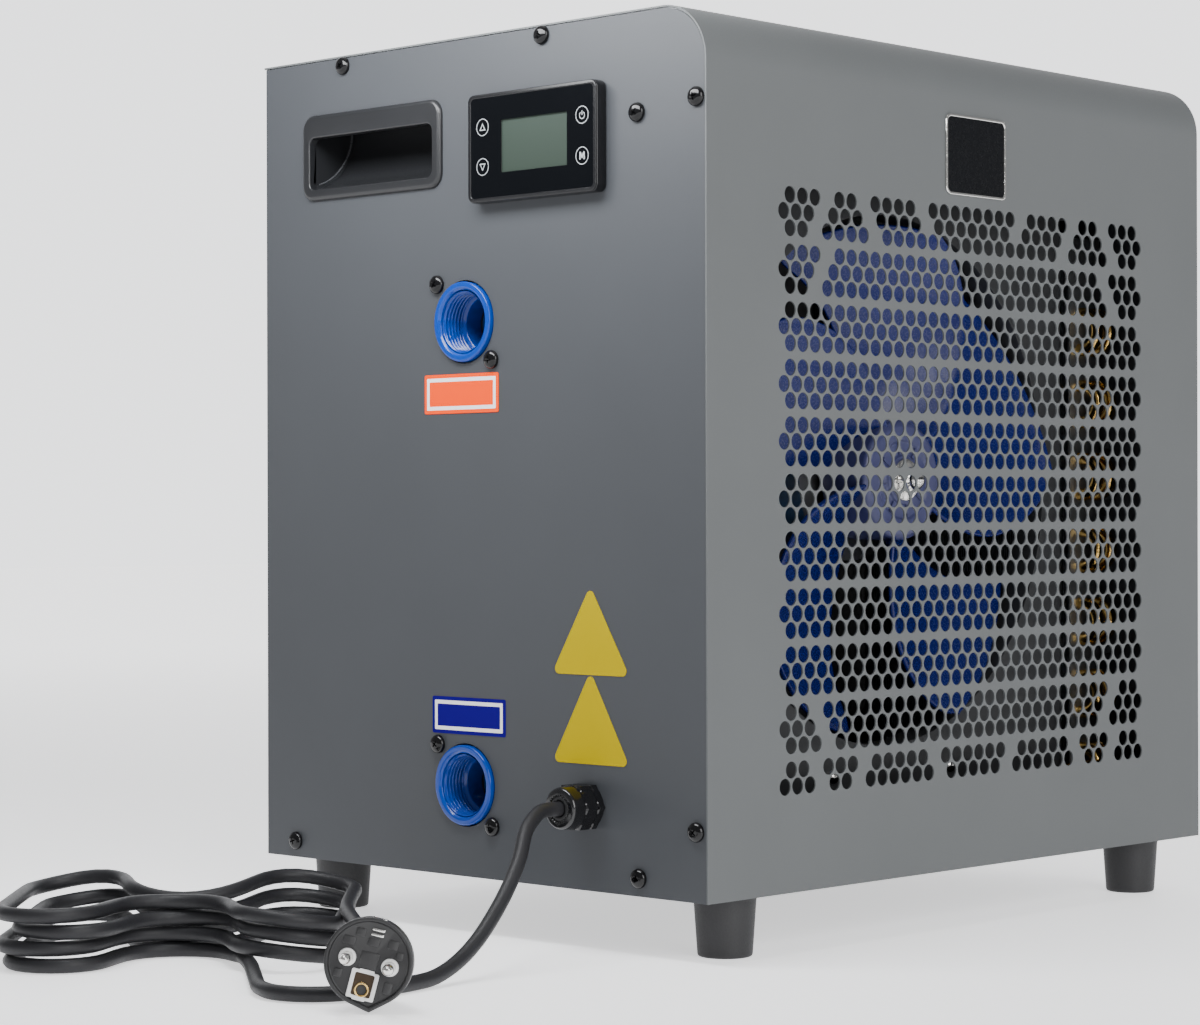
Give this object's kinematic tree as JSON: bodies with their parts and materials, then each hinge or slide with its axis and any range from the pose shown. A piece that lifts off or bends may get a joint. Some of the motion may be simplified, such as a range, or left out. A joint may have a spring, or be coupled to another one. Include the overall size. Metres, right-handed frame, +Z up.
{
  "type": "pool heat pump",
  "caption": "Compact pool heat pump: wrapped steel case with a punched grille over an axial fan, side water ports, a display, a carrying handle on each side and a mains cord in a tied hank.",
  "frame": {"origin": "centre of the bounding box's base, on the floor under the feet, measured without the free cord and its plug", "axes": "+Z up; -Y out of the punched grille, the way the fan blows; -X out of the service panel with the water ports and the display"},
  "size_m": [0.6605, 0.3287, 0.46],
  "materials": {
    "case_paint": "satin",
    "panel_paint": "satin",
    "galvanised": "satin",
    "foot_rubber": "matte",
    "zinc": "satin",
    "black_screw": "satin",
    "black_plastic": "satin",
    "badge_plastic": "gloss",
    "label_film": "satin",
    "yellow_film": "satin",
    "display_front": "gloss",
    "lcd": "gloss",
    "circuit_board": "satin",
    "blue_plastic": "satin",
    "cord_rubber": "satin",
    "nickel": "polished",
    "brass": "satin",
    "fan_plastic": "satin",
    "steel": "satin",
    "motor_metal": "satin",
    "copper_wound": "satin",
    "board_parts": "satin",
    "compressor_paint": "satin",
    "fin_metal": "satin",
    "copper": "satin",
    "exchanger_plastic": "satin",
    "titanium": "satin",
    "paddle_plastic": "satin"
  },
  "bodies": {
    "case": {"base_pan": "galvanised", "wrap_cover": "case_paint", "service_panel": "panel_paint", "right_panel": "panel_paint", "rear_guard": "case_paint", "fan_plate": "galvanised", "foot_front_left": "foot_rubber", "foot_front_right": "foot_rubber", "foot_rear_left": "foot_rubber", "foot_rear_right": "foot_rubber", "foot_screws": "zinc", "case_screws": "black_screw", "left_handle": "black_plastic", "right_handle": "black_plastic", "badge": "badge_plastic", "port_labels": "label_film", "yellow_labels": "yellow_film", "display_bezel": "black_plastic", "display_glass": "display_front", "display_lcd": "lcd", "display_board": "circuit_board", "outlet_union": "blue_plastic", "inlet_union": "blue_plastic", "union_screws": "black_screw", "union_seals": "foot_rubber", "gland_body": "black_plastic", "gland_nut": "black_plastic", "gland_seal": "foot_rubber", "gland_locknut": "black_plastic", "supply_cable": "cord_rubber", "cord_lead": "cord_rubber", "cord_hank": "cord_rubber", "cord_tail": "cord_rubber", "plug_body": "cord_rubber", "plug_pins": "nickel", "plug_earth": "brass", "motor_shell": "motor_metal", "motor_end_bell": "motor_metal", "motor_stator": "copper_wound", "motor_bearings": "steel", "motor_bracket": "galvanised", "control_box": "galvanised", "control_lid": "galvanised", "control_board": "circuit_board", "control_parts": "board_parts", "compressor": "compressor_paint", "compressor_grommets": "foot_rubber", "compressor_studs": "zinc", "accumulator": "compressor_paint", "evaporator_fins": "fin_metal", "evaporator_tubes": "copper", "exchanger_shell": "exchanger_plastic", "exchanger_cap": "exchanger_plastic", "exchanger_coil": "titanium", "flow_switch": "black_plastic"},
    "fan": {"fan_rotor": "fan_plastic", "fan_nut": "zinc", "motor_shaft": "steel", "motor_core": "steel"},
    "paddle": {"flow_paddle": "paddle_plastic"}
  },
  "joints": [
    {"name": "fan_spin", "type": "hinge", "parent": "case", "child": "fan", "pos_m": [-0.02005, -0.1237, 0.233], "axis": [0, -1, 0], "continuous": true},
    {"name": "paddle_swing", "type": "hinge", "parent": "case", "child": "paddle", "pos_m": [-0.15155, 0.0033, 0.33], "axis": [0, 1, 0], "range_deg": [0, 22], "stiffness_Nm_per_rad": 0.02}
  ]
}
